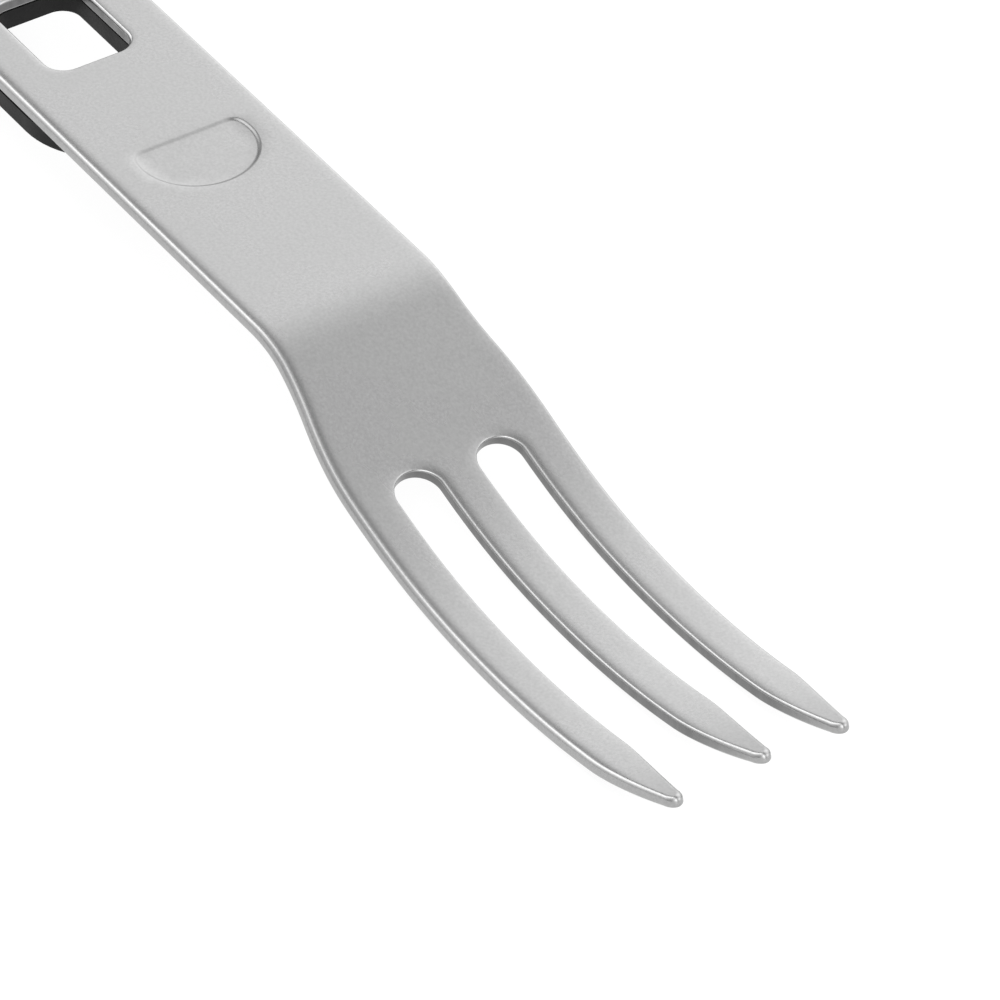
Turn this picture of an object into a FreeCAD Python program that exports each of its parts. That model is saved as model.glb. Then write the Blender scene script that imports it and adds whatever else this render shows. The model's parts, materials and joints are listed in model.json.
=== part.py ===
import FreeCAD, Part
import math
import os

# Picnic fork that lifts off a small folding knife: a fork pressed from sheet steel lies on the
# knife's upper scale, whose slotted tongue runs forward under the fork's handle.
# Millimetres. +X runs towards the tines, +Y to the left of someone looking along +X, +Z up.
# The origin is under the middle of the whole length, on the surface the set lies on.
V = FreeCAD.Vector

# ---- driving dimensions: fork blank --------------------------------------------------------
HANDLE_W = 18.0            # parallel handle, and every layer of the knife
STOCK_T = 1.35             # sheet thickness of the fork
HANDLE_L = 127.2           # tail to the start of the neck bend
NECK_R, NECK_DEG = 13.0, 25.6      # bend down out of the handle
RAMP_L = 9.1               # straight run below the neck bend
BOWL_R, BOWL_L = 53.9, 20.3        # first, tighter curve of the head
TINE_R, TINE_L = 76.3, 32.1        # flatter curve that carries on to the tips
OUTER_BOWL_R, OUTER_TINE_R = 54.5, 77.6    # the same two curves on the outer tines
OUTER_TILT, KNUCKLE_L = 0.95, 3.0  # outer tines also dip by these degrees just past the gaps
HEAD_W, TINES_W = 21.1, 20.6       # across the head, and across the tines where they taper
GAP_IN, GAP_OUT = 1.92, 6.50       # inner and outer wall of a tine gap, from the middle
ROOT_S = 19.1              # neck bend to the closed end of a gap, along the sheet
FLARE_S = (2.8, 19.4)      # stretch where the handle widens into the head
TAPER_S = 56.7             # where the tines start to narrow
TIP_HALF_W = 0.95          # radius of the rounded tip
MIDDLE_EXTRA = 0.8         # the middle tine is this much longer
TIP_LEAN = 0.13            # outer tips sit this much nearer the middle

# ---- driving dimensions: openings and marks in the fork handle, from the neck bend ----------
SLOT_FRONT, SLOT_L, SLOT_W, SLOT_R = -40.5, 12.4, 8.6, 2.0
MARK_X, MARK_Y = -24.05, 0.4       # centre of the half-moon mark's circle
MARK_R, MARK_CUT, MARK_DEPTH = 5.65, 2.1, 0.15
STUD_X = (-66.5, -104.0)
STUD_R, STUD_PLAY, STUD_CHAMFER = 1.5, 0.05, 0.3
STUD_FLANGE, STUD_FLANGE_T = 0.8, 0.6      # how far the flange stands out, and its thickness
STUD_SINK = 0.2            # the stud ends this far under the fork's upper face

# ---- driving dimensions: knife layers, from the neck bend ------------------------------------
SCALE_T = 1.9              # upper scale and its tongue
TONGUE_X = -38.2           # centre of the tongue's round front end
BODY_X = -73.5             # centre of the round front end of all the layers below
LINER_T, BLADE_T = 1.2, 2.5
WASHER_T, WASHER_R, WASHER_PLAY = 0.25, 5.0, 0.1
SCALE_EDGE, LOW_EDGE = 0.2, 1.2    # rounding under the tongue and round the lower scale
WALL = 4.2                 # width of the back spacer
SPACER_BACK = 7.2          # the spacer starts this far in front of the pivot
SPACER_HOOK, SPACER_REACH = 1.8, -4.6      # its hook round the front: from this X, down to this Y
THUMB_X, THUMB_R, THUMB_Y = -83.0, 9.0, -13.6      # bay that bares the blade's nick
UNLOCK_X, UNLOCK_R, UNLOCK_Y = -105.0, 8.0, -13.8  # bay that bares the lock leaf

# ---- driving dimensions: blade, as it lies folded in -----------------------------------------
BLADE_L, SPINE_Y, EDGE_Y = 46.5, -7.0, 3.5
TANG_R, SHOULDER_X = 5.6, 5.2      # round end at the pivot, and where the blade proper starts
SWEEP_L = 13.0             # length over which the spine sweeps down to the point
SWEEP_BACK, SWEEP_DROP = 4.6, 3.4  # a place on that sweep, back from the point and off the spine
NOSE_BACK, NOSE_UP = 0.4, 1.2      # end of the sweep, just above the edge
TOE_BACK, TOE_UP = 0.2, 0.4        # middle of the small round toe
TOE_L = 0.8                # the toe meets the edge this far back from the point
KICK_X, KICK_R, KICK_UP = 3.3, 1.5, 0.4    # stop bump on the edge side, in front of the shoulder
GRIND_X, GRIND_W, LAND = 6.0, 5.5, 0.15    # flat grind: start, width, half edge thickness
NICK_HALF, NICK_R, NICK_DEPTH, NICK_IN = 4.5, 0.5, 0.5, 1.5

# ---- driving dimensions: pivot, screws, stop, detent and magnets -----------------------------
STOP_R, STOP_DIST, STOP_DEG = 1.0, 7.0, 125.0
BARREL_R, BARREL_PLAY, BARREL_HEAD_R, BARREL_HEAD_T = 2.5, 0.05, 4.0, 1.0
BARREL_FLOOR = 1.2         # metal left over the blind screw bore
SLOT_HALF, SLOT_DEPTH = 0.4, 0.5   # screwdriver slot in the barrel's head
PIVOT_SCREW_R, PIVOT_HEAD_T, PIVOT_TIP_GAP = 1.5, 1.2, 0.8
PIVOT_HEX_R, PIVOT_HEX_DEPTH = 1.5, 0.8
SCREW_R, SCREW_HEAD_R, TOP_HEAD_T, LOW_HEAD_T = 1.0, 1.8, 0.9, 1.2
SCREW_X, SCREW_Y = (-106.0, -74.0), 6.6
SCREW_HEX_R, TOP_HEX_DEPTH, LOW_HEX_DEPTH = 0.8, 0.5, 0.7
SCREW_BITE = 1.1           # how far each screw reaches into the back spacer
HEAD_SINK, LOW_SINK = 0.1, 0.4     # heads lie this far under the upper and lower faces
HEAD_PLAY = 0.1            # clearance round the pivot heads
MAGNET_X, MAGNET_R, MAGNET_T = (-77.0, -93.0), 3.0, 1.2
MAGNET_SINK, MAGNET_CHAMFER = 0.05, 0.15
LEAF_ROOT, LEAF_TIP, LEAF_Y, LEAF_SLIT = -88.0, -112.0, -2.0, 0.5
BALL_R, BALL_OUT, BALL_BACK, BALL_Y = 0.75, 0.2, 3.0, -5.5   # in the lock leaf, near its free end
CUT = 1.0                  # how far every cutting shape runs past the faces it cuts

HALF_W = HANDLE_W / 2


# ---- side profile of the sheet, in X and Z -------------------------------------------------
def root_radius():
    return (GAP_OUT - GAP_IN) / 2


def profile(outer=False):
    """Segments (length, curvature) of the sheet's top line from the tail."""
    neck_l = NECK_R * math.radians(NECK_DEG)
    to_root = ROOT_S + root_radius() - neck_l - RAMP_L
    handle = [(HANDLE_L, 0.0), (neck_l, -1 / NECK_R), (RAMP_L, 0.0), (to_root, 1 / BOWL_R)]
    if not outer:
        return handle + [(BOWL_L - to_root, 1 / BOWL_R), (TINE_L, 1 / TINE_R)]
    dip_curve = 1 / OUTER_BOWL_R - math.radians(OUTER_TILT) / KNUCKLE_L
    return handle + [(KNUCKLE_L, dip_curve), (BOWL_L - to_root - KNUCKLE_L, 1 / OUTER_BOWL_R),
                     (TINE_L, 1 / OUTER_TINE_R)]


def step(x, z, heading, length, curvature):
    """Walk one segment and return the new place and heading."""
    if curvature == 0:
        return x + length * math.cos(heading), z + length * math.sin(heading), heading
    turned = heading + length * curvature
    return (x + (math.sin(turned) - math.sin(heading)) / curvature,
            z - (math.cos(turned) - math.cos(heading)) / curvature, turned)


def stations(segments):
    """Start, middle and end of each segment, from the tail at x = 0 with the handle top at z = 0."""
    here = (0.0, 0.0, 0.0)
    out = []
    for length, curvature in segments:
        out.append((here, step(*here, length / 2, curvature), step(*here, length, curvature)))
        here = out[-1][2]
    return out


def reach(s, outer=False):
    """x of the sheet's top line, from the tail, at a distance s past the neck bend along the sheet."""
    left = s + HANDLE_L
    here = (0.0, 0.0, 0.0)
    for length, curvature in profile(outer):
        here = step(*here, min(left, length), curvature)
        left -= min(left, length)
    if left > 0:
        here = step(*here, left, profile(outer)[-1][1])
    return here[0]


def dip():
    """Depth of the head's lowest point below the handle top, on the outer tines' underside."""
    x, z, heading = stations(profile(outer=True))[-1][0]
    curvature = 1 / OUTER_TINE_R
    level = step(x, z, heading, -heading / curvature, curvature)
    return STOCK_T - level[1]


SHEET_S = NECK_R * math.radians(NECK_DEG) + RAMP_L + BOWL_L + TINE_L
TAIL = -reach(SHEET_S + MIDDLE_EXTRA) / 2
NECK = TAIL + HANDLE_L
TOP = dip()
SCALE_TOP = TOP - STOCK_T
SCALE_LOW = SCALE_TOP - SCALE_T
BLADE_TOP = SCALE_LOW - LINER_T - WASHER_T
BLADE_LOW = BLADE_TOP - BLADE_T
LINER_LOW = BLADE_LOW - WASHER_T - LINER_T
PIVOT = TAIL + HALF_W


# ---- small helpers -------------------------------------------------------------------------
def place(s, outer=False):
    """The same x, from the part's origin."""
    return TAIL + reach(s, outer)


def face_of(edges):
    return Part.Face(Part.Wire(Part.__sortEdges__([e.toShape() for e in edges])))


def line(a, b):
    return Part.LineSegment(V(*a), V(*b))


def arc(a, b, c):
    return Part.Arc(V(*a), V(*b), V(*c))


def prism(face, low, high):
    face.translate(V(0, 0, low))
    return face.extrude(V(0, 0, high - low))


def disc(x, y, radius, low, high):
    return Part.makeCylinder(radius, high - low, V(x, y, low))


def through(x, y, radius, low, high):
    """Cutting cylinder that runs past both faces."""
    return disc(x, y, radius, low - CUT, high + CUT)


def block(x0, x1, y0, y1, low, high):
    return Part.makeBox(x1 - x0, y1 - y0, high - low, V(x0, y0, low))


def capsule(x0, x1, radius):
    """Outline with round ends centred at x0 and x1."""
    return face_of([line((x0, radius, 0), (x1, radius, 0)),
                    arc((x1, radius, 0), (x1 + radius, 0, 0), (x1, -radius, 0)),
                    line((x1, -radius, 0), (x0, -radius, 0)),
                    arc((x0, -radius, 0), (x0 - radius, 0, 0), (x0, radius, 0))])


def soften(solid, radius, wanted):
    """Round the edges picked by wanted(edge)."""
    return solid.makeFillet(radius, [e for e in solid.Edges if wanted(e)])


def rounded_block(x0, x1, half, radius, low, high):
    solid = block(x0, x1, -half, half, low, high)
    return soften(solid, radius, lambda e: abs(e.tangentAt(e.FirstParameter).z) > 0.9)


def layer(low, high, front=None):
    """One full-width layer of the knife, from the tail to the round front end."""
    return prism(capsule(PIVOT, NECK + (BODY_X if front is None else front), HALF_W), low, high)


def slot_cut(low, high):
    front = NECK + SLOT_FRONT
    return rounded_block(front - SLOT_L, front, SLOT_W / 2, SLOT_R, low - CUT, high + CUT)


def flat_at(edge, z):
    """True for an edge that lies wholly at height z."""
    box = edge.BoundBox
    return abs(box.ZMin - z) < 1e-4 and abs(box.ZMax - z) < 1e-4


def outer_wall(edge):
    """True for an edge on the outside of a full-width layer."""
    box = edge.BoundBox
    return min(abs(box.YMin + HALF_W), abs(box.YMax - HALF_W)) < 1e-4


# ---- fork ----------------------------------------------------------------------------------
def ribbon(outer=False):
    """The bent sheet, wider than the head, made of straight runs and arcs."""
    top, low = [], []
    for start, middle, end in stations(profile(outer)):
        upper = [(TAIL + x, 0, TOP + z) for x, z, _ in (start, middle, end)]
        under = [(TAIL + x + STOCK_T * math.sin(h), 0, TOP + z - STOCK_T * math.cos(h))
                 for x, z, h in (start, middle, end)]
        straight = start[2] == end[2]
        for points, edges in ((upper, top), (under, low)):
            edges.append(line(points[0], points[2]) if straight else arc(*points))
    for edges in (top, low):
        end = edges[-1].EndPoint
        heading = stations(profile(outer))[-1][2][2]
        ahead = V(math.cos(heading), 0, math.sin(heading)) * (MIDDLE_EXTRA + CUT)
        edges.append(Part.LineSegment(end, end + ahead))
    ends = [Part.LineSegment(top[0].StartPoint, low[0].StartPoint),
            Part.LineSegment(top[-1].EndPoint, low[-1].EndPoint)]
    face = face_of(top + low + ends)
    face.translate(V(0, -HEAD_W, 0))
    return face.extrude(V(0, 2 * HEAD_W, 0))


def head_outline(x_end):
    """Handle and head up to x_end, with a smooth widening on both sides."""
    x0, x1 = place(FLARE_S[0]), place(FLARE_S[1])
    wide = HEAD_W / 2
    edges = [arc((PIVOT, -HALF_W, 0), (TAIL, 0, 0), (PIVOT, HALF_W, 0)),
             line((x_end, -wide, 0), (x_end, wide, 0))]
    for side in (-1, 1):
        flare = Part.BezierCurve()
        middle = (x0 + x1) / 2
        flare.setPoles([V(x0, side * HALF_W, 0), V(middle, side * HALF_W, 0),
                        V(middle, side * wide, 0), V(x1, side * wide, 0)])
        edges += [line((PIVOT, side * HALF_W, 0), (x0, side * HALF_W, 0)), flare,
                  line((x1, side * wide, 0), (x_end, side * wide, 0))]
    return face_of(edges)


def tine_outline(x_start, inner, outer, outer_end, extra, lean, on_side):
    """One tine: parallel, then tapering to a rounded tip."""
    x_taper = place(TAPER_S, on_side)
    x_tip = place(SHEET_S + extra, on_side)
    x_round = x_tip - TIP_HALF_W
    middle = (inner + outer_end) / 2 - lean
    low, high = middle - TIP_HALF_W, middle + TIP_HALF_W
    return face_of([line((x_start, inner, 0), (x_taper, inner, 0)),
                    line((x_taper, inner, 0), (x_round, low, 0)),
                    arc((x_round, low, 0), (x_tip, middle, 0), (x_round, high, 0)),
                    line((x_round, high, 0), (x_taper, outer_end, 0)),
                    line((x_taper, outer_end, 0), (x_start, outer, 0)),
                    line((x_start, outer, 0), (x_start, inner, 0))])


def mark(low, high):
    """Half-moon thumb mark: a circle with its handle side cut off straight."""
    x, half = NECK + MARK_X, math.sqrt(MARK_R ** 2 - MARK_CUT ** 2)
    left, right = (x - MARK_CUT, MARK_Y - half, 0), (x - MARK_CUT, MARK_Y + half, 0)
    outline = face_of([arc(left, (x + MARK_R, MARK_Y, 0), right), line(right, left)])
    return prism(outline, low, high)


def fork():
    x_root = place(ROOT_S) + root_radius()
    below, above = -CUT, TOP + CUT
    sheet = ribbon()
    solid = sheet.common(prism(head_outline(x_root), below, above))
    for side in (-1, 1):
        solid = solid.cut(disc(x_root, side * (GAP_IN + GAP_OUT) / 2, root_radius(), below, above))
    middle = tine_outline(x_root, -GAP_IN, GAP_IN, GAP_IN, MIDDLE_EXTRA, 0.0, False)
    outer = tine_outline(x_root, GAP_OUT, HEAD_W / 2, TINES_W / 2, 0.0, TIP_LEAN, True)
    left_tine = ribbon(outer=True).common(prism(outer, below, above))
    right_tine = left_tine.mirror(V(0, 0, 0), V(0, 1, 0))
    solid = solid.fuse([sheet.common(prism(middle, below, above)), left_tine, right_tine])
    solid = solid.removeSplitter().cut(slot_cut(SCALE_TOP, TOP))
    for x in STUD_X:
        solid = solid.cut(through(NECK + x, 0, STUD_R + STUD_PLAY, SCALE_TOP, TOP))
    solid = solid.fuse(mark(SCALE_TOP - MARK_DEPTH, TOP - MARK_DEPTH))
    return solid.cut(mark(TOP - MARK_DEPTH, TOP + CUT))


# ---- scales and liners ---------------------------------------------------------------------
def screw_holes(radius, low, high):
    return Part.makeCompound([disc(NECK + x, SCREW_Y, radius, low, high) for x in SCREW_X])


def top_scale():
    low, high = SCALE_LOW, SCALE_TOP
    solid = layer(low, high, TONGUE_X).cut(slot_cut(low, high))
    solid = solid.cut(through(PIVOT, 0, BARREL_HEAD_R + HEAD_PLAY, low, high))
    solid = solid.cut(screw_holes(SCREW_R, low - CUT, high + CUT))
    solid = solid.cut(screw_holes(SCREW_HEAD_R, high - TOP_HEAD_T - HEAD_SINK, high + CUT))
    for x in MAGNET_X:
        solid = solid.cut(disc(NECK + x, 0, MAGNET_R, high - MAGNET_T - MAGNET_SINK, high + CUT))
    for x in STUD_X:
        solid = solid.cut(through(NECK + x, 0, STUD_R, low, high))
        solid = solid.cut(disc(NECK + x, 0, STUD_R + STUD_FLANGE, low - CUT, low + STUD_FLANGE_T))
    return soften(solid, SCALE_EDGE, lambda e: flat_at(e, low) and outer_wall(e))


def liner(low):
    """Plate with the pivot, stop pin and screw holes."""
    high = low + LINER_T
    solid = layer(low, high).cut(through(PIVOT, 0, BARREL_R, low, high))
    solid = solid.cut(through(*stop_place(), STOP_R, low, high))
    return solid.cut(screw_holes(SCREW_R, low - CUT, high + CUT))


def top_liner():
    return liner(SCALE_LOW - LINER_T)


def bottom_liner():
    """Its lock leaf is cut free by an L-shaped slit and bends behind the open blade."""
    low, high = LINER_LOW, LINER_LOW + LINER_T
    root, tip = NECK + LEAF_ROOT, NECK + LEAF_TIP
    solid = liner(low)
    solid = solid.cut(block(tip, root, LEAF_Y - LEAF_SLIT, LEAF_Y, low - CUT, high + CUT))
    solid = solid.cut(block(tip, tip + LEAF_SLIT, -HALF_W - CUT, LEAF_Y, low - CUT, high + CUT))
    solid = solid.cut(through(root, LEAF_Y - LEAF_SLIT / 2, 2 * LEAF_SLIT, low, high))
    solid = solid.cut(through(*ball_place(), BALL_R, low, high))
    return solid.cut(through(NECK + THUMB_X, THUMB_Y, THUMB_R, low, high))


def bottom_scale():
    low, high = 0, LINER_LOW
    solid = soften(layer(low, high), LOW_EDGE, lambda e: flat_at(e, low) and outer_wall(e))
    solid = solid.cut(through(PIVOT, 0, BARREL_HEAD_R + HEAD_PLAY, low, high))
    solid = solid.cut(screw_holes(SCREW_R, low - CUT, high + CUT))
    solid = solid.cut(screw_holes(SCREW_HEAD_R, low - CUT, low + LOW_SINK + LOW_HEAD_T))
    solid = solid.cut(through(NECK + THUMB_X, THUMB_Y, THUMB_R, low, high))
    return solid.cut(through(NECK + UNLOCK_X, UNLOCK_Y, UNLOCK_R, low, high))


# ---- blade and what it turns on ------------------------------------------------------------
def blade_outline():
    """Sheepsfoot: straight edge towards the back spacer, spine outward."""
    tip, shoulder = PIVOT + BLADE_L, PIVOT + SHOULDER_X
    sweep = (tip - SWEEP_L, SPINE_Y, 0)
    nose = (tip - NOSE_BACK, EDGE_Y - NOSE_UP, 0)
    heel, toe_end = (shoulder, EDGE_Y, 0), (tip - TOE_L, EDGE_Y, 0)
    return face_of([line((shoulder, SPINE_Y, 0), sweep),
                    arc(sweep, (tip - SWEEP_BACK, SPINE_Y + SWEEP_DROP, 0), nose),
                    arc(nose, (tip - TOE_BACK, EDGE_Y - TOE_UP, 0), toe_end),
                    line(toe_end, heel), line(heel, (shoulder, SPINE_Y, 0))])


def grind(side):
    """Wedge that takes one face down to the edge; side is 1 above and -1 below."""
    middle = (BLADE_LOW + BLADE_TOP) / 2
    x, face_z = PIVOT + SHOULDER_X + GRIND_X, middle + side * BLADE_T / 2
    corners = [(x, EDGE_Y - GRIND_W, face_z), (x, EDGE_Y + CUT, face_z),
               (x, EDGE_Y + CUT, middle), (x, EDGE_Y, middle + side * LAND)]
    wedge = Part.Face(Part.makePolygon([V(*c) for c in corners + corners[:1]]))
    return wedge.extrude(V(BLADE_L, 0, 0))


def blade():
    solid = prism(blade_outline(), BLADE_LOW, BLADE_TOP)
    solid = solid.fuse(disc(PIVOT, 0, TANG_R, BLADE_LOW, BLADE_TOP))
    kick_x = PIVOT + SHOULDER_X + KICK_X
    solid = solid.fuse(disc(kick_x, EDGE_Y - KICK_UP, KICK_R, BLADE_LOW, BLADE_TOP)).removeSplitter()
    solid = solid.cut(grind(1)).cut(grind(-1))
    nick_x = NECK + THUMB_X
    nick = prism(capsule(nick_x - NICK_HALF, nick_x + NICK_HALF, NICK_R), 0, NICK_DEPTH)
    nick.translate(V(0, SPINE_Y + NICK_IN, BLADE_LOW))
    return solid.cut(nick).cut(through(PIVOT, 0, BARREL_R + BARREL_PLAY, BLADE_LOW, BLADE_TOP))


def washer(low):
    high = low + WASHER_T
    return disc(PIVOT, 0, WASHER_R, low, high).cut(through(PIVOT, 0, BARREL_R + WASHER_PLAY, low, high))


def pivot_barrel():
    head_top = SCALE_LOW + BARREL_HEAD_T
    solid = disc(PIVOT, 0, BARREL_R, LINER_LOW, SCALE_LOW)
    solid = solid.fuse(disc(PIVOT, 0, BARREL_HEAD_R, SCALE_LOW, head_top))
    solid = solid.cut(disc(PIVOT, 0, PIVOT_SCREW_R, LINER_LOW - CUT, SCALE_LOW - BARREL_FLOOR))
    driver_l = 0.75 * BARREL_HEAD_R
    return solid.cut(block(PIVOT - driver_l, PIVOT + driver_l, -SLOT_HALF, SLOT_HALF,
                           head_top - SLOT_DEPTH, head_top + CUT))


def hex_socket(x, y, radius, low, high):
    corners = [V(x + radius * math.cos(math.radians(a)), y + radius * math.sin(math.radians(a)), low)
               for a in range(0, 361, 60)]
    return Part.Face(Part.makePolygon(corners)).extrude(V(0, 0, high - low))


def pivot_screw():
    head_low = LINER_LOW - PIVOT_HEAD_T
    tip = SCALE_LOW - BARREL_FLOOR - PIVOT_TIP_GAP
    solid = disc(PIVOT, 0, BARREL_HEAD_R, head_low, LINER_LOW)
    solid = solid.fuse(disc(PIVOT, 0, PIVOT_SCREW_R, LINER_LOW, tip)).removeSplitter()
    return solid.cut(hex_socket(PIVOT, 0, PIVOT_HEX_R, head_low - CUT, head_low + PIVOT_HEX_DEPTH))


def stop_place():
    angle = math.radians(STOP_DEG)
    return PIVOT + STOP_DIST * math.cos(angle), STOP_DIST * math.sin(angle)


def stop_pin():
    return disc(*stop_place(), STOP_R, LINER_LOW, SCALE_LOW)


def ball_place():
    """On the lock leaf, near its free end."""
    return NECK + LEAF_TIP + BALL_BACK, BALL_Y


def detent_ball():
    """Ball pressed into the lock leaf, cut off flush with the leaf's lower face."""
    ball = Part.makeSphere(BALL_R, V(*ball_place(), LINER_LOW + LINER_T + BALL_OUT - BALL_R))
    return ball.common(disc(*ball_place(), BALL_R, LINER_LOW, LINER_LOW + LINER_T + BALL_OUT))


# ---- what holds the layers apart and together ----------------------------------------------
def back_spacer():
    """Strip along the closed side that wraps round the front end, clear of the blade's swing."""
    low, high = LINER_LOW + LINER_T, SCALE_LOW - LINER_T
    front = NECK + BODY_X
    inside = prism(capsule(PIVOT, front, HALF_W - WALL), low - CUT, high + CUT)
    solid = layer(low, high).cut(inside)
    solid = solid.cut(block(TAIL - CUT, PIVOT + SPACER_BACK, -HALF_W - CUT, HALF_W + CUT,
                            low - CUT, high + CUT))
    solid = solid.cut(block(TAIL, front + SPACER_HOOK, -HALF_W - CUT, 0, low - CUT, high + CUT))
    solid = solid.cut(block(TAIL, NECK, -HALF_W - CUT, SPACER_REACH, low - CUT, high + CUT))
    return solid.cut(screw_holes(SCREW_R, low - CUT, high + CUT))


def screw(x, head_low, head_high, shank_low, shank_high, socket_low, socket_high):
    solid = disc(NECK + x, SCREW_Y, SCREW_HEAD_R, head_low, head_high)
    solid = solid.fuse(disc(NECK + x, SCREW_Y, SCREW_R, shank_low, shank_high)).removeSplitter()
    return solid.cut(hex_socket(NECK + x, SCREW_Y, SCREW_HEX_R, socket_low, socket_high))


def top_screws():
    head_high = SCALE_TOP - HEAD_SINK
    head_low = head_high - TOP_HEAD_T
    return Part.makeCompound([screw(x, head_low, head_high, BLADE_TOP - SCREW_BITE, head_low,
                                    head_high - TOP_HEX_DEPTH, head_high + CUT) for x in SCREW_X])


def bottom_screws():
    head_high = LOW_SINK + LOW_HEAD_T
    return Part.makeCompound([screw(x, LOW_SINK, head_high, head_high, BLADE_LOW + SCREW_BITE,
                                    LOW_SINK - CUT, LOW_SINK + LOW_HEX_DEPTH) for x in SCREW_X])


def locating_stud(x):
    """Flanged steel stud fixed in the upper scale; its end stands in a hole of the fork."""
    end = TOP - STUD_SINK
    stud = disc(NECK + x, 0, STUD_R + STUD_FLANGE, SCALE_LOW, SCALE_LOW + STUD_FLANGE_T)
    stud = stud.fuse(disc(NECK + x, 0, STUD_R, SCALE_LOW, end)).removeSplitter()
    return stud.makeChamfer(STUD_CHAMFER, [e for e in stud.Edges if flat_at(e, end)])


def magnet(x):
    high = SCALE_TOP - MAGNET_SINK
    plate = disc(NECK + x, 0, MAGNET_R, high - MAGNET_T, high)
    return plate.makeChamfer(MAGNET_CHAMFER, [e for e in plate.Edges if flat_at(e, high)])


PARTS = {"fork": fork, "top_scale": top_scale, "bottom_scale": bottom_scale, "top_liner": top_liner,
         "bottom_liner": bottom_liner, "blade": blade, "pivot_barrel": pivot_barrel,
         "pivot_screw": pivot_screw, "stop_pin": stop_pin, "detent_ball": detent_ball,
         "back_spacer": back_spacer, "top_screws": top_screws, "bottom_screws": bottom_screws,
         "upper_washer": lambda: washer(BLADE_TOP), "lower_washer": lambda: washer(BLADE_LOW - WASHER_T),
         "front_stud": lambda: locating_stud(STUD_X[0]), "rear_stud": lambda: locating_stud(STUD_X[1]),
         "front_magnet": lambda: magnet(MAGNET_X[0]), "rear_magnet": lambda: magnet(MAGNET_X[1])}

os.makedirs("parts", exist_ok=True)
for name, make in PARTS.items():
    shape = make()
    shape.exportStep("parts/" + name + ".step")
    box = shape.BoundBox
    print(name, "solids", len(shape.Solids), "valid", shape.isValid(), "volume %.1f" % shape.Volume,
          "x %.2f %.2f y %.2f %.2f z %.2f %.2f" % (box.XMin, box.XMax, box.YMin, box.YMax,
                                                    box.ZMin, box.ZMax))
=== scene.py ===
import bpy
import json
import math
import numpy as np
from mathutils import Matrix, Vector
from mathutils.geometry import delaunay_2d_cdt


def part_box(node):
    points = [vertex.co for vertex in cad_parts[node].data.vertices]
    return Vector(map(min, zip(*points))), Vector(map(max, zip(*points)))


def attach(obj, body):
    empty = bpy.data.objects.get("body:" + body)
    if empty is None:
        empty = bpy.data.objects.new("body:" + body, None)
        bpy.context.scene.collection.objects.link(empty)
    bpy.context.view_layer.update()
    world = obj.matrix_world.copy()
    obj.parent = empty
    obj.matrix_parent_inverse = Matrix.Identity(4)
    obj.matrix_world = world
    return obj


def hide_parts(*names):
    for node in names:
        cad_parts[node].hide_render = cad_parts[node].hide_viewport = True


# Picnic fork lying on its folding knife. The fork is rebuilt as a fine mesh of the pressed sheet
# with rounded edges, and every other piece is its CAD node with a new material. Lengths are in
# millimetres until a mesh is made, when MM turns them into metres. On the flat sheet, x or s runs
# from the start of the neck bend towards the tips, y runs across, and depth runs down from the
# upper face.
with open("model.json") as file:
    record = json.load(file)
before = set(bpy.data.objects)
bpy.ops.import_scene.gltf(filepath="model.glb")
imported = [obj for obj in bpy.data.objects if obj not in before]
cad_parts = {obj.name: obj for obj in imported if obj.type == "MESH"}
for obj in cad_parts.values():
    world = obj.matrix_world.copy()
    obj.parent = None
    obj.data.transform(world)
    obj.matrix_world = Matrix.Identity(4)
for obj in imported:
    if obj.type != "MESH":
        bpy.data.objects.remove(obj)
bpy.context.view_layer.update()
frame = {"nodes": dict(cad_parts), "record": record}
MM = 0.001

# ---- fork blank: the CAD part's dimensions ------------------------------------------------------
HANDLE_W = 18.0            # parallel handle
STOCK_T = 1.35             # sheet thickness
HANDLE_L = 127.2           # tail to the start of the neck bend
NECK_R, NECK_DEG = 13.0, 25.6      # bend down out of the handle
RAMP_L = 9.1               # straight run below the neck bend
BOWL_R, BOWL_L = 53.9, 20.3        # first, tighter curve of the head
TINE_R, TINE_L = 76.3, 32.1        # flatter curve that carries on to the tips
OUTER_BOWL_R, OUTER_TINE_R = 54.5, 77.6    # the same two curves on the outer tines
OUTER_TILT, KNUCKLE_L = 0.95, 3.0  # outer tines also dip by these degrees just past the gaps
HEAD_W, TINES_W = 21.1, 20.6       # across the head, and across the tines where they taper
GAP_IN, GAP_OUT = 1.92, 6.50       # inner and outer wall of a tine gap, from the middle
ROOT_S = 19.1              # neck bend to the closed end of a gap
FLARE_S = (2.8, 19.4)      # stretch where the handle widens into the head
TAPER_S = 56.7             # where the tines start to narrow
TIP_LEAN = 0.13            # outer tips sit this much nearer the middle
SLOT_FRONT, SLOT_L, SLOT_W, SLOT_R = -40.5, 12.4, 8.6, 2.0     # R rounds its corners
MARK_X, MARK_Y = -24.05, 0.4       # centre of the half-moon mark's circle
MARK_R, MARK_CUT, MARK_DEPTH = 5.65, 2.1, 0.15     # its straight side is MARK_CUT behind the centre
STUD_X, STUD_HOLE_R = (-66.5, -104.0), 1.55        # holes for the knife's two studs

# ---- fork details that the CAD part leaves out or has simpler -----------------------------------
TIP_HALF_W, TIP_LEN = 0.88, 1.35   # half axes of a tip's elliptical end, across and along
TIP_BACK = 0.16            # outer tips end this far short of the sheet's full length
MIDDLE_EXTRA = 0.66        # the middle tine is this much longer
TIP_SHIFT = -0.20          # all three tips sit this far to one side
TIP_THIN = 0.20            # share of the thickness that is lost by the end of a tip
TAPER_SOFT = 1.2           # half the stretch over which a tine's edge eases into its taper
SOFT_CURVE, CRISP_CURVE = 1.5, 1.25    # powers that make tapered edges bulge
MARK_CORNER = 0.7          # rounding where the mark's straight side meets its circle
STRAIGHT_WALL, ARC_WALL = 0.30, 0.24   # half widths of the mark's sloping wall
MARK_PAINTED_SHADE = 0.5            # share of painted shade on the mark's round wall
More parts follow.
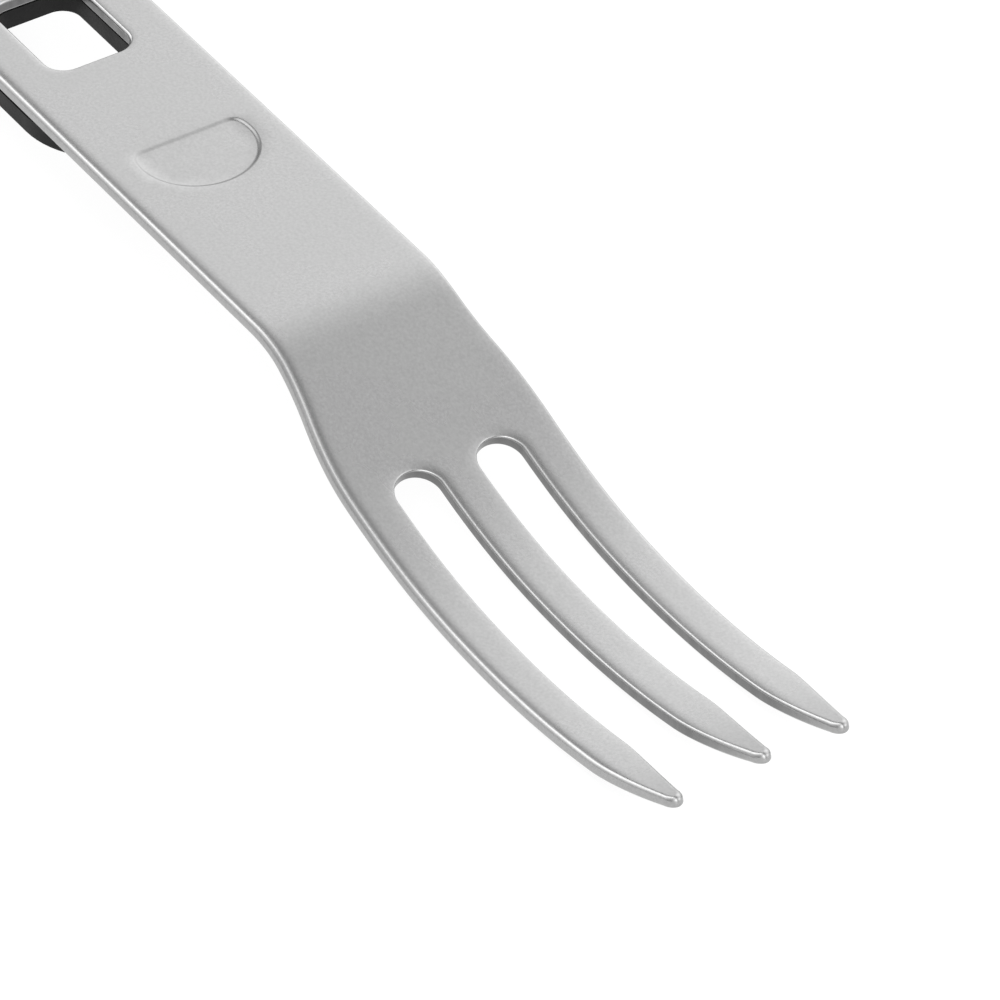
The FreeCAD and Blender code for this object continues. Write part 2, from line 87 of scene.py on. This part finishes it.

# Edge profiles: radius of the rounding, how far in the soft shoulder reaches, the shoulder's drop,
# and how much of the wall is darkened (1) rather than tumbled smooth (0), by a darker as-cut finish
# and by painted shade for the shaded floor these walls reflect. Edges facing +Y are crisper.
OUTER_EDGE, GAP_EDGE = (0.36, 1.5, 0.28, 0.0), (0.17, 1.4, 0.16, 1.0)
CRISP_OUTER, CRISP_GAP = (0.28, 1.6, 0.06, 0.0), (0.12, 1.6, 0.05, 1.0)
SLOT_EDGE, HOLE_EDGE = (0.28, 1.0, 0.09, 1.0), (0.12, 0.3, 0.02, 1.0)
TIP_EDGE = (0.47, 0.50, 0.05, 0.0)
SHOULDER_POWER = 3         # how sharply the shoulder's drop dies away inward

# ---- fineness of the fork's mesh ----------------------------------------------------------------
LINE_STEP, SLOT_STEP, GRID_STEP = 0.6, 0.5, 0.9    # along straight edges, and between inner points
GRID_CLEAR = 0.55          # inner points keep this share of GRID_STEP from every outline
TIP_STEPS, TAPER_STEPS, ROOT_STEPS = 20, 24, 40    # steps round or along each curved stretch
FLARE_STEPS, TAIL_STEPS = 34, 30
CORNER_STEPS, HOLE_STEPS, MARK_STEPS = 9, 28, 110
FILLET_TURNS = [math.radians(a) for a in (0, 15, 30, 45, 60, 75, 90)]
SHOULDER_SHARES = (0.08, 0.2, 0.35, 0.55, 0.75, 1.0)
MARK_LEVELS = (1.0, 0.6, 0.2, -0.2, -0.6, -1.0)    # lines along the mark's wall, outer to inner
BISECTIONS = 40            # steps that home in on such a line
SAME_POINT = 1e-4          # an outline's points nearer than this are one
TOUCHING = 1e-6            # points nearer than this are one when faces are made
SLIVER = 1e-6              # twice the area of the smallest triangle that is kept

# ---- fork dimensions that follow ----------------------------------------------------------------
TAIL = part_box("fork")[0].x / MM
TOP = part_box("fork")[1].z / MM
NECK = TAIL + HANDLE_L
HALF_W = HANDLE_W / 2
ROOT_R = (GAP_OUT - GAP_IN) / 2
ROOT_END = ROOT_S + ROOT_R
GAP_MID = (GAP_OUT + GAP_IN) / 2
NECK_L = NECK_R * math.radians(NECK_DEG)
SHEET_S = NECK_L + RAMP_L + BOWL_L + TINE_L

# ---- studio -------------------------------------------------------------------------------------
FLOOR_HALF, FLOOR_Z, FLOOR_GLOW = 3.0, -0.00005, 0.89  # metres, metres, emission strength
# The sky's brightness is a product of three lines through (place, brightness) pairs, over the Y,
# X and Z of the direction looked in. A bright bank stands on each side, with a dim strip between.
SKY_STRENGTH = 6.0
SKY_ACROSS = ((-0.9, 0.22), (-0.6, 0.28), (-0.45, 0.45), (-0.3, 0.68), (-0.15, 0.64), (0.0, 0.13),
              (0.14, 0.07), (0.30, 0.275), (0.45, 0.332), (0.62, 0.48), (0.9, 0.53))
SKY_ALONG = ((-1.0, 0.80), (-0.8, 0.84), (-0.65, 0.79), (-0.5, 0.765), (-0.34, 0.65), (0.0, 0.5),
             (0.3, 0.55), (0.55, 0.9), (1.0, 0.9))
SKY_HEIGHT = ((0.0, 0.5), (0.15, 0.75), (0.35, 1.0), (1.0, 1.0))
CAM_AZIMUTH, CAM_ELEVATION, CAM_DISTANCE = 33.40, 39.31, 0.600     # degrees, degrees, metres
CAM_LENS, SENSOR = 258.2, 36.0     # focal length and sensor width
CAM_NEAR, CAM_FAR = 0.01, 20.0     # clipping, in metres
CAM_AIM = Vector(((NECK + 32.2) * MM, -4.3 * MM, TOP * MM))    # a place above the tines


# ---- bent sheet ---------------------------------------------------------------------------------
def profile(outer):
    """Stretches (length, curvature) from the neck bend's start, into an outer tine or the middle."""
    to_root = ROOT_END - NECK_L - RAMP_L
    ramp = [(NECK_L, -1 / NECK_R), (RAMP_L, 0.0), (to_root, 1 / BOWL_R)]
    if not outer:
        return ramp + [(BOWL_L - to_root, 1 / BOWL_R), (2 * TINE_L, 1 / TINE_R)]
    knuckle = 1 / OUTER_BOWL_R - math.radians(OUTER_TILT) / KNUCKLE_L
    return ramp + [(KNUCKLE_L, knuckle), (BOWL_L - to_root - KNUCKLE_L, 1 / OUTER_BOWL_R),
                   (2 * TINE_L, 1 / OUTER_TINE_R)]


PATHS = {outer: profile(outer) for outer in (False, True)}


def on_sheet(s, y, depth):
    """Point of the bent sheet at s along it, y across it and depth below its upper face."""
    x, z, heading, ahead = min(s, 0.0), 0.0, 0.0, max(s, 0.0)
    for length, curvature in PATHS[abs(y) > GAP_MID and s > ROOT_END]:
        run = min(ahead, length)
        ahead -= run
        if curvature == 0:
            x, z = x + run * math.cos(heading), z + run * math.sin(heading)
        else:
            turned = heading + run * curvature
            x += (math.sin(turned) - math.sin(heading)) / curvature
            z -= (math.cos(turned) - math.cos(heading)) / curvature
            heading = turned
    depth *= 1 - TIP_THIN * min(max((s - TAPER_S) / (SHEET_S - TAPER_S), 0.0), 1.0)
    return (NECK + x + depth * math.sin(heading), y, TOP + z - depth * math.cos(heading))


# ---- outlines: lists of (x, y, edge), where edge is a profile like the ones above ----------------
def mixed(a, b, share):
    """Point, or edge profile, that is this share of the way from a to b."""
    return tuple(u + (v - u) * share for u, v in zip(a, b))


def run_line(a, b, edge, spacing=LINE_STEP):
    count = max(1, round(math.dist(a, b) / spacing))
    return [(*mixed(a, b, k / count), edge) for k in range(count + 1)]


def run_arc(centre, radii, angles, edge, count, last_edge=None):
    """Elliptical arc between two angles in degrees, with the edge changing smoothly to last_edge."""
    out = []
    for k in range(count + 1):
        turn = math.radians(angles[0] + (angles[1] - angles[0]) * k / count)
        x, y = centre[0] + radii[0] * math.cos(turn), centre[1] + radii[1] * math.sin(turn)
        out.append((x, y, mixed(edge, last_edge or edge, k / count)))
    return out


def joined(*runs):
    """One closed loop from runs that meet end to end, with each shared point kept once."""
    points = [p for run in runs for p in run]
    befores = points[-1:] + points
    return [p for p, before in zip(points, befores) if math.dist(p[:2], before[:2]) > SAME_POINT]


def taper_side(y_start, y_end, s_end, start_edge):
    """Tine edge from the parallel part to the rounded tip, bulging a little."""
    curve = CRISP_CURVE if start_edge in (CRISP_OUTER, CRISP_GAP) else SOFT_CURVE
    out = []
    for k in range(TAPER_STEPS + 1):
        s = TAPER_S - TAPER_SOFT + (s_end - TAPER_S + TAPER_SOFT) * k / TAPER_STEPS
        past = s - TAPER_S
        if past < TAPER_SOFT:
            past = (past + TAPER_SOFT) ** 2 / (4 * TAPER_SOFT)
        share = (past / (s_end - TAPER_S)) ** curve
        out.append((s, y_start + (y_end - y_start) * share, mixed(start_edge, TIP_EDGE, share)))
    return out


def flare_side(edge):
    """Smooth widening from the handle to the head."""
    out = []
    for k in range(FLARE_STEPS + 1):
        u = k / FLARE_STEPS
        ease = 2 * u * u if u < 0.5 else 1 - 2 * (1 - u) ** 2
        s = FLARE_S[0] + (FLARE_S[1] - FLARE_S[0]) * u
        out.append((s, HALF_W + (HEAD_W / 2 - HALF_W) * ease, edge))
    return out


def half_fork(outer_edge, middle_edge, inner_edge, shift):
    """From the middle tip to the tail, round the side with positive y, with its tips moved by
    shift. The edges are the outer side's, the middle tine's and the outer tine's inner one."""
    side_end = SHEET_S - TIP_BACK - TIP_LEN
    middle_end = side_end + MIDDLE_EXTRA
    side_mid = (GAP_OUT + TINES_W / 2) / 2 - TIP_LEAN + shift
    cut = TAPER_S - TAPER_SOFT
    tip = (TIP_LEN, TIP_HALF_W)
    return joined(run_arc((middle_end, shift), tip, (0, 90), TIP_EDGE, TIP_STEPS // 2),
                  taper_side(GAP_IN, shift + TIP_HALF_W, middle_end, middle_edge)[::-1],
                  run_line((cut, GAP_IN), (ROOT_END, GAP_IN), middle_edge),
                  run_arc((ROOT_END, GAP_MID), (ROOT_R, ROOT_R), (270, 90), middle_edge, ROOT_STEPS,
                          inner_edge),
                  run_line((ROOT_END, GAP_OUT), (cut, GAP_OUT), inner_edge),
                  taper_side(GAP_OUT, side_mid - TIP_HALF_W, side_end, inner_edge),
                  run_arc((side_end, side_mid), tip, (-90, 90), TIP_EDGE, TIP_STEPS),
                  taper_side(TINES_W / 2, side_mid + TIP_HALF_W, side_end, outer_edge)[::-1],
                  run_line((cut, TINES_W / 2), (FLARE_S[1], HEAD_W / 2), outer_edge),
                  flare_side(outer_edge)[::-1],
                  run_line((FLARE_S[0], HALF_W), (HALF_W - HANDLE_L, HALF_W), outer_edge),
                  run_arc((HALF_W - HANDLE_L, 0), (HALF_W, HALF_W), (90, 180), outer_edge, TAIL_STEPS,
                          OUTER_EDGE))


def fork_outline():
    left = half_fork(CRISP_OUTER, CRISP_GAP, GAP_EDGE, TIP_SHIFT)
    right = half_fork(OUTER_EDGE, GAP_EDGE, CRISP_GAP, -TIP_SHIFT)
    return joined(left, [(x, -y, edge) for x, y, edge in right[::-1]])


def rounded_rectangle(x0, x1, half, radius, edge):
    corners = []
    for centre, start in (((x1 - radius, half - radius), 0), ((x0 + radius, half - radius), 90),
                          ((x0 + radius, radius - half), 180), ((x1 - radius, radius - half), 270)):
        corners.append(run_arc(centre, (radius, radius), (start, start + 90), edge, CORNER_STEPS))
    runs = []
    for corner, following in zip(corners, corners[1:] + corners[:1]):
        runs += [corner, run_line(corner[-1][:2], following[0][:2], edge, SLOT_STEP)]
    return joined(*runs)


def circle(x, y, radius, edge):
    return joined(run_arc((x, y), (radius, radius), (0, 360), edge, HOLE_STEPS))


# ---- half-moon mark -----------------------------------------------------------------------------
def mark_distance(x, y):
    """Signed distance to the mark's outline, negative inside, and how far the nearest part of it
    is the straight side (1) rather than the round one (0)."""
    ring = np.hypot(x - MARK_X, y - MARK_Y) - MARK_R + MARK_CORNER
    flat = MARK_X - MARK_CUT - x + MARK_CORNER
    outside = np.hypot(np.maximum(ring, 0), np.maximum(flat, 0))
    whole = outside + np.minimum(np.maximum(ring, flat), 0) - MARK_CORNER
    return whole, np.clip((flat - ring) / MARK_CORNER + 0.5, 0, 1)


def mark(x, y):
    """Depth of the mark, and the share of painted shade on its round wall."""
    distance, straight = mark_distance(x, y)
    wall = ARC_WALL + (STRAIGHT_WALL - ARC_WALL) * straight
    u = np.clip((wall - distance) / (2 * wall), 0, 1)
    # second value is painted shade: a dark line along the mark's round wall, darkest mid-wall
    return MARK_DEPTH * u * u * (3 - 2 * u), MARK_PAINTED_SHADE * 4 * u * (1 - u) * (1 - straight)


def mark_ring(level):
    """Closed line along the mark's wall: at its outer edge for level 1, at its inner one for -1."""
    angles = np.arange(MARK_STEPS) * 2 * math.pi / MARK_STEPS
    near, far = np.zeros(MARK_STEPS), np.full(MARK_STEPS, 2 * MARK_R)
    inner_x = MARK_X + MARK_R / 4      # with MARK_Y, a point well inside the mark
    for _ in range(BISECTIONS):
        middle = (near + far) / 2
        x, y = inner_x + middle * np.cos(angles), MARK_Y + middle * np.sin(angles)
        distance, straight = mark_distance(x, y)
        inside = distance < level * (ARC_WALL + (STRAIGHT_WALL - ARC_WALL) * straight)
        near, far = np.where(inside, middle, near), np.where(inside, far, middle)
    return [(inner_x + r * math.cos(a), MARK_Y + r * math.sin(a)) for r, a in zip(near, angles)]


# ---- plate with rounded edges -------------------------------------------------------------------
def rings(loop, inward):
    """The outline stepped inward round its edges: (points, upper depth, lower rounding) a step."""
    points = np.array([(x, y) for x, y, _ in loop])
    radius, reach, drop, _ = np.array([edge for _, _, edge in loop]).T
    along = np.roll(points, -1, 0) - np.roll(points, 1, 0)
    along /= np.hypot(along[:, 0], along[:, 1])[:, None]
    normal = np.stack([-along[:, 1], along[:, 0]], 1) * inward
    steps = [(radius * (1 - math.cos(a)), radius * (1 - math.sin(a))) for a in FILLET_TURNS]
    steps += [(radius + (reach - radius) * share, radius * 0) for share in SHOULDER_SHARES]
    out = []
    for inset, rounding in steps:
        shoulder = drop * np.clip(1 - inset / reach, 0, 1) ** SHOULDER_POWER
        out.append((points + normal * inset[:, None], shoulder + rounding, rounding))
    return out


def inside_loop(points, loop):
    """Even-odd test of many points against one closed loop."""
    x, y = points[:, 0:1], points[:, 1:2]
    ax, ay = loop[:, 0], loop[:, 1]
    bx, by = np.roll(ax, -1), np.roll(ay, -1)
    with np.errstate(divide="ignore", invalid="ignore"):
        crossing = ((ay > y) != (by > y)) & (x < (bx - ax) * (y - ay) / (by - ay) + ax)
    return crossing.sum(1) % 2 == 1


def within(points, borders):
    """True for points inside the first border and outside the others."""
    keep = inside_loop(points, borders[0])
    for border in borders[1:]:
        keep &= ~inside_loop(points, border)
    return keep


def staggered_grid(borders, fixed):
    """Points that fill the plate between its borders, kept clear of the fixed ones."""
    low, high = borders[0].min(0), borders[0].max(0)
    columns, rows = np.arange(low[0], high[0], GRID_STEP), np.arange(low[1], high[1], GRID_STEP)
    x, y = np.meshgrid(columns, rows)
    x += GRID_STEP / 2 * (np.arange(len(x)) % 2)[:, None]
    cells = np.stack([x.ravel(), y.ravel()], 1)
    cells = cells[within(cells, borders)]
    clear = [np.min(np.hypot(*(fixed - cell).T)) > GRID_CLEAR * GRID_STEP for cell in cells]
    return cells[clear]


def real_triangles(corners):
    """True for triangles that are more than slivers."""
    side_a, side_b = corners[:, 1] - corners[:, 0], corners[:, 2] - corners[:, 0]
    return np.abs(side_a[:, 0] * side_b[:, 1] - side_a[:, 1] * side_b[:, 0]) > SLIVER


class Plate:
    """Flat plate with rounded edges. Its outline is added first, then its holes, its creases and
    its broad faces. A vertex is (x, y, depth), with its darkening share in cut: as-cut finish with
    painted shade on punched walls, and painted shade alone in the mark's crease."""

    def __init__(self, thickness):
        self.thickness = thickness
        self.verts, self.cut, self.faces = [], [], []
        self.borders = []      # flat outline of the broad faces, then of their holes
        self.rims = []         # upper and lower vertex at each point of the borders
        self.flat, self.edges = [], []     # points and lines that the broad faces are made on

    def add_crease(self, line):
        """Closed line that the broad faces follow."""
        first, size = len(self.flat), len(line)
        self.flat += [tuple(point) for point in line]
        self.edges += [(first + k, first + (k + 1) % size) for k in range(size)]

    def add_border(self, loop, hole=False):
        """Rounded wall along the plate's outline or round a hole."""
        area = sum(a[0] * b[1] - b[0] * a[1] for a, b in zip(loop, loop[1:] + loop[:1]))
        inward = math.copysign(1, area) * (-1 if hole else 1)
        ringed = rings(loop, inward)
        layers = [(points, depth) for points, depth, _ in ringed[::-1]]
        layers += [(points, self.thickness - rounding) for points, _, rounding in ringed]
        start, size = len(self.verts), len(loop)
        for row, (points, depth) in enumerate(layers):
            on_wall = row in (len(ringed) - 1, len(ringed))
            self.verts += [(x, y, d) for (x, y), d in zip(points, depth)]
            # wall rows take the edge's darkening share: darker as-cut finish plus painted shade
            self.cut += [edge[-1] * on_wall for _, _, edge in loop]
        for row in range(len(layers) - 1):
            for k in range(size):
                a, b = start + row * size + k, start + row * size + (k + 1) % size
                quad = (a, b, b + size, a + size)
                self.faces.append(quad[::-1] if inward > 0 else quad)
        last = start + (len(layers) - 1) * size
        self.rims += [(start + k, last + k) for k in range(size)]
        self.borders.append(ringed[-1][0])
        self.add_crease(ringed[-1][0])

    def fill(self, press):
        """Both broad faces. press(x, y) gives how far they are pushed down there, and how much
        painted shade that adds in the pressed crease."""
        self.flat += [tuple(cell) for cell in staggered_grid(self.borders, np.array(self.flat))]
        flat = [Vector(point) for point in self.flat]
        points, _, triangles, origin, _, _ = delaunay_2d_cdt(flat, self.edges, [], 0, TOUCHING)
        points = np.array([tuple(point) for point in points])
        # the press also gives painted shade for the mark's crease, kept in cut
        pressed, crease_painted_shade = press(points[:, 0], points[:, 1])
        pairs = []
        for k, inputs in enumerate(origin):
            on_rim = [i for i in inputs if i < len(self.rims)]
            if on_rim:
                pairs.append(self.rims[on_rim[0]])
                continue
            pairs.append((len(self.verts), len(self.verts) + 1))
            self.verts += [(*points[k], pressed[k]), (*points[k], self.thickness + pressed[k])]
            self.cut += [crease_painted_shade[k], crease_painted_shade[k]]
        corners = points[np.array(triangles)]
        wanted = within(corners.mean(1), self.borders) & real_triangles(corners)
        for triangle, keep in zip(triangles, wanted):
            if keep:
                self.faces.append([pairs[k][0] for k in triangle])
                self.faces.append([pairs[k][1] for k in triangle][::-1])

    def piece(self, name, place):
        """The finished object, where place(x, y, depth) says where a point goes."""
        mesh = bpy.data.meshes.new(name)
        mesh.from_pydata([Vector(place(*map(float, v))) * MM for v in self.verts], [], self.faces)
        mesh.attributes.new("cut", "FLOAT", "POINT").data.foreach_set("value", self.cut)
        mesh.update()
        mesh.shade_smooth()
        made = bpy.data.objects.new(name, mesh)
        bpy.context.scene.collection.objects.link(made)
        return made


# ---- material tools -----------------------------------------------------------------------------
NOISE_LOW, NOISE_HIGH = 0.3, 0.7       # most of a noise lies between these


def material(name, base, metallic, roughness):
    mat = bpy.data.materials.new(name)
    mat.use_nodes = True
    shader = mat.node_tree.nodes["Principled BSDF"]
    shader.inputs["Base Color"].default_value = (*base, 1)
    shader.inputs["Metallic"].default_value = metallic
    shader.inputs["Roughness"].default_value = roughness
    return mat, mat.node_tree, shader


def noise(tree, per_metre, detail=3.0, stretch=(1, 1, 1)):
    """Noise in the piece's own metres, with this many grains per metre."""
    where = tree.nodes.new("ShaderNodeTexCoord")
    mapping = tree.nodes.new("ShaderNodeMapping")
    mapping.inputs["Scale"].default_value = stretch
    grain = tree.nodes.new("ShaderNodeTexNoise")
    grain.inputs["Scale"].default_value = per_metre
    grain.inputs["Detail"].default_value = detail
    tree.links.new(where.outputs["Object"], mapping.inputs["Vector"])
    tree.links.new(mapping.outputs["Vector"], grain.inputs["Vector"])
    return grain.outputs["Fac"]


def spread(tree, value, low, high):
    """Map a noise onto low to high."""
    ramp = tree.nodes.new("ShaderNodeMapRange")
    ramp.inputs["From Min"].default_value = NOISE_LOW
    ramp.inputs["From Max"].default_value = NOISE_HIGH
    ramp.inputs["To Min"].default_value = low
    ramp.inputs["To Max"].default_value = high
    tree.links.new(value, ramp.inputs["Value"])
    return ramp.outputs["Result"]


def tint(tree, value, dark, light):
    """Map a noise onto colours from dark to light."""
    ramp = tree.nodes.new("ShaderNodeValToRGB")
    ramp.color_ramp.elements[0].position = NOISE_LOW
    ramp.color_ramp.elements[1].position = NOISE_HIGH
    ramp.color_ramp.elements[0].color = (*dark, 1)
    ramp.color_ramp.elements[1].color = (*light, 1)
    tree.links.new(value, ramp.inputs["Fac"])
    return ramp.outputs["Color"]


def bump(tree, shader, value, depth):
    """Relief of this depth in metres."""
    node = tree.nodes.new("ShaderNodeBump")
    node.inputs["Strength"].default_value = 1.0
    node.inputs["Distance"].default_value = depth
    tree.links.new(value, node.inputs["Height"])
    tree.links.new(node.outputs["Normal"], shader.inputs["Normal"])


def grey(value, warm=0.0):
    """Grey colour, with red raised and blue lowered by the share warm."""
    return (value * (1 + warm), value, value * (1 - warm))


# ---- materials ----------------------------------------------------------------------------------
def blasted_steel():
    """Fine blasted grain, with walls darker where the mesh's "cut" says so: the as-cut finish
    and painted shade on punched walls, and painted shade alone in the mark's crease.
    """
    mat, tree, shader = material("blasted steel", grey(0.38), metallic=1.0, roughness=0.28)
    grain = tint(tree, noise(tree, per_metre=3500), dark=grey(0.355), light=grey(0.405))
    streaks = noise(tree, per_metre=900, stretch=(1, 1, 0.2))
    # colour of the darkened walls: as-cut finish with painted shade, and the mark's painted crease
    # shade
    wall = tint(tree, streaks, dark=grey(0.145), light=grey(0.20))
    where = tree.nodes.new("ShaderNodeAttribute")
    where.attribute_name = "cut"
    colour = tree.nodes.new("ShaderNodeMix")
    colour.data_type = "RGBA"
    tree.links.new(where.outputs["Fac"], colour.inputs["Factor"])
    tree.links.new(grain, colour.inputs["A"])
    tree.links.new(wall, colour.inputs["B"])
    tree.links.new(colour.outputs["Result"], shader.inputs["Base Color"])
    patches = noise(tree, per_metre=90)
    tree.links.new(spread(tree, patches, low=0.26, high=0.30), shader.inputs["Roughness"])
    bump(tree, shader, noise(tree, per_metre=4200, detail=2.0), depth=0.000005)
    return mat


def black_nylon():
    mat, tree, shader = material("black nylon", grey(0.005), metallic=0.0, roughness=0.55)
    shader.inputs["Specular IOR Level"].default_value = 0.22
    specks = tint(tree, noise(tree, per_metre=2500), dark=grey(0.004), light=grey(0.007))
    tree.links.new(specks, shader.inputs["Base Color"])
    patches = noise(tree, per_metre=300)
    tree.links.new(spread(tree, patches, low=0.50, high=0.62), shader.inputs["Roughness"])
    bump(tree, shader, noise(tree, per_metre=3000, detail=4.0), depth=0.00002)
    return mat


def stonewashed_steel():
    mat, tree, shader = material("stonewashed steel", grey(0.32), metallic=1.0, roughness=0.38)
    grain = noise(tree, per_metre=2500, detail=6.0)
    tree.links.new(tint(tree, grain, dark=grey(0.29), light=grey(0.34)), shader.inputs["Base Color"])
    scuffs = noise(tree, per_metre=1200)
    tree.links.new(spread(tree, scuffs, low=0.34, high=0.42), shader.inputs["Roughness"])
    bump(tree, shader, noise(tree, per_metre=1500, detail=5.0), depth=0.00001)
    return mat


def satin_blade():
    """Fine grinding lines along the blade."""
    mat, tree, shader = material("satin blade", grey(0.5), metallic=1.0, roughness=0.28)
    lines = noise(tree, per_metre=4000, stretch=(0.05, 1, 1))
    tree.links.new(tint(tree, lines, dark=grey(0.42), light=grey(0.50)), shader.inputs["Base Color"])
    tree.links.new(spread(tree, lines, low=0.24, high=0.32), shader.inputs["Roughness"])
    bump(tree, shader, lines, depth=0.000003)
    return mat


def turned_steel():
    mat, tree, shader = material("turned steel", grey(0.45), metallic=1.0, roughness=0.3)
    scuffs = noise(tree, per_metre=1200)
    tree.links.new(spread(tree, scuffs, low=0.24, high=0.36), shader.inputs["Roughness"])
    bump(tree, shader, noise(tree, per_metre=2500, detail=2.0), depth=0.000004)
    return mat


def bronze():
    mat, tree, shader = material("bronze", (0.55, 0.34, 0.15), metallic=1.0, roughness=0.35)
    tarnish = tint(tree, noise(tree, per_metre=700), dark=(0.48, 0.29, 0.12), light=(0.6, 0.38, 0.18))
    tree.links.new(tarnish, shader.inputs["Base Color"])
    return mat


def nickel():
    mat, tree, shader = material("nickel plate", grey(0.38, warm=0.02), metallic=1.0, roughness=0.2)
    patches = noise(tree, per_metre=400)
    tree.links.new(spread(tree, patches, low=0.16, high=0.24), shader.inputs["Roughness"])
    return mat


SLOTS = {"fork_steel": blasted_steel(), "black_nylon": black_nylon(),
         "liner_steel": stonewashed_steel(), "blade_steel": satin_blade(),
         "screw_steel": turned_steel(), "bronze": bronze(), "magnet_plate": nickel()}


# ---- pieces -------------------------------------------------------------------------------------
def finish_nodes():
    """Every CAD node takes the material of its slot."""
    for entry in frame["record"]["subparts"]:
        node = frame["nodes"][entry["node"]]
        node.data.materials.clear()
        node.data.materials.append(SLOTS[entry["material_slot"]])


def fork_piece():
    sheet = Plate(STOCK_T)
    sheet.add_border(fork_outline())
    slot = rounded_rectangle(SLOT_FRONT - SLOT_L, SLOT_FRONT, SLOT_W / 2, SLOT_R, SLOT_EDGE)
    sheet.add_border(slot, hole=True)
    for x in STUD_X:
        sheet.add_border(circle(x, 0, STUD_HOLE_R, HOLE_EDGE), hole=True)
    for level in MARK_LEVELS:
        sheet.add_crease(mark_ring(level))
    sheet.fill(mark)
    piece = sheet.piece("fork_sheet", on_sheet)
    piece.data.materials.append(SLOTS["fork_steel"])
    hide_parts("fork")
    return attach(piece, "fork")


# ---- floor, sky and camera ----------------------------------------------------------------------
def floor():
    """Pale floor that glows, so that it stays white round the object."""
    mesh = bpy.data.meshes.new("floor")
    corners = [(-FLOOR_HALF, -FLOOR_HALF), (FLOOR_HALF, -FLOOR_HALF), (FLOOR_HALF, FLOOR_HALF),
               (-FLOOR_HALF, FLOOR_HALF)]
    mesh.from_pydata([(x, y, FLOOR_Z) for x, y in corners], [], [(0, 1, 2, 3)])
    mat, _, shader = material("pale floor", grey(0.12), metallic=0.0, roughness=0.9)
    shader.inputs["Emission Color"].default_value = (1, 1, 1, 1)
    shader.inputs["Emission Strength"].default_value = FLOOR_GLOW
    mesh.materials.append(mat)
    plane = bpy.data.objects.new("floor", mesh)
    bpy.context.scene.collection.objects.link(plane)


def sky():
    """Soft light from all round, as bright as SKY_ACROSS, SKY_ALONG and SKY_HEIGHT say."""
    world = bpy.data.worlds.new("studio")
    bpy.context.scene.world = world
    world.use_nodes = True
    tree = world.node_tree
    where = tree.nodes.new("ShaderNodeTexCoord")
    split = tree.nodes.new("ShaderNodeSeparateXYZ")
    tree.links.new(where.outputs["Generated"], split.inputs["Vector"])
    across = brightness_line(tree, split.outputs["Y"], SKY_ACROSS)
    along = brightness_line(tree, split.outputs["X"], SKY_ALONG)
    height = brightness_line(tree, split.outputs["Z"], SKY_HEIGHT)
    scaled = product(tree, product(tree, across, along), height)
    strength = tree.nodes.new("ShaderNodeMath")
    strength.operation = "MULTIPLY"
    strength.inputs[1].default_value = SKY_STRENGTH
    tree.links.new(scaled, strength.inputs[0])
    back = tree.nodes["Background"]
    back.inputs["Color"].default_value = (1, 1, 1, 1)
    tree.links.new(strength.outputs["Value"], back.inputs["Strength"])


def brightness_line(tree, value, pairs):
    """Line through (place from -1 to 1, brightness) pairs."""
    ramp = tree.nodes.new("ShaderNodeValToRGB")
    shift = tree.nodes.new("ShaderNodeMapRange")
    shift.inputs["From Min"].default_value = -1.0
    tree.links.new(value, shift.inputs["Value"])
    tree.links.new(shift.outputs["Result"], ramp.inputs["Fac"])
    elements = ramp.color_ramp.elements
    elements.remove(elements[1])
    for place, bright in pairs:
        elements.new((place + 1) / 2).color = (bright, bright, bright, 1)
    elements.remove(elements[0])
    return ramp.outputs["Color"]


def product(tree, a, b):
    node = tree.nodes.new("ShaderNodeMath")
    node.operation = "MULTIPLY"
    tree.links.new(a, node.inputs[0])
    tree.links.new(b, node.inputs[1])
    return node.outputs["Value"]


def camera():
    data = bpy.data.cameras.new("camera")
    data.sensor_width = SENSOR
    data.lens = CAM_LENS
    data.clip_start, data.clip_end = CAM_NEAR, CAM_FAR
    cam = bpy.data.objects.new("camera", data)
    bpy.context.scene.collection.objects.link(cam)
    azimuth, elevation = math.radians(CAM_AZIMUTH), math.radians(CAM_ELEVATION)
    back = Vector((math.cos(elevation) * math.cos(azimuth), -math.cos(elevation) * math.sin(azimuth),
                   math.sin(elevation)))
    cam.location = CAM_AIM + back * CAM_DISTANCE
    cam.rotation_mode = "QUATERNION"
    cam.rotation_quaternion = back.to_track_quat("Z", "Y")
    bpy.context.scene.camera = cam


camera()
finish_nodes()
fork_piece()
floor()
sky()
bpy.context.scene.view_settings.view_transform = "Standard"
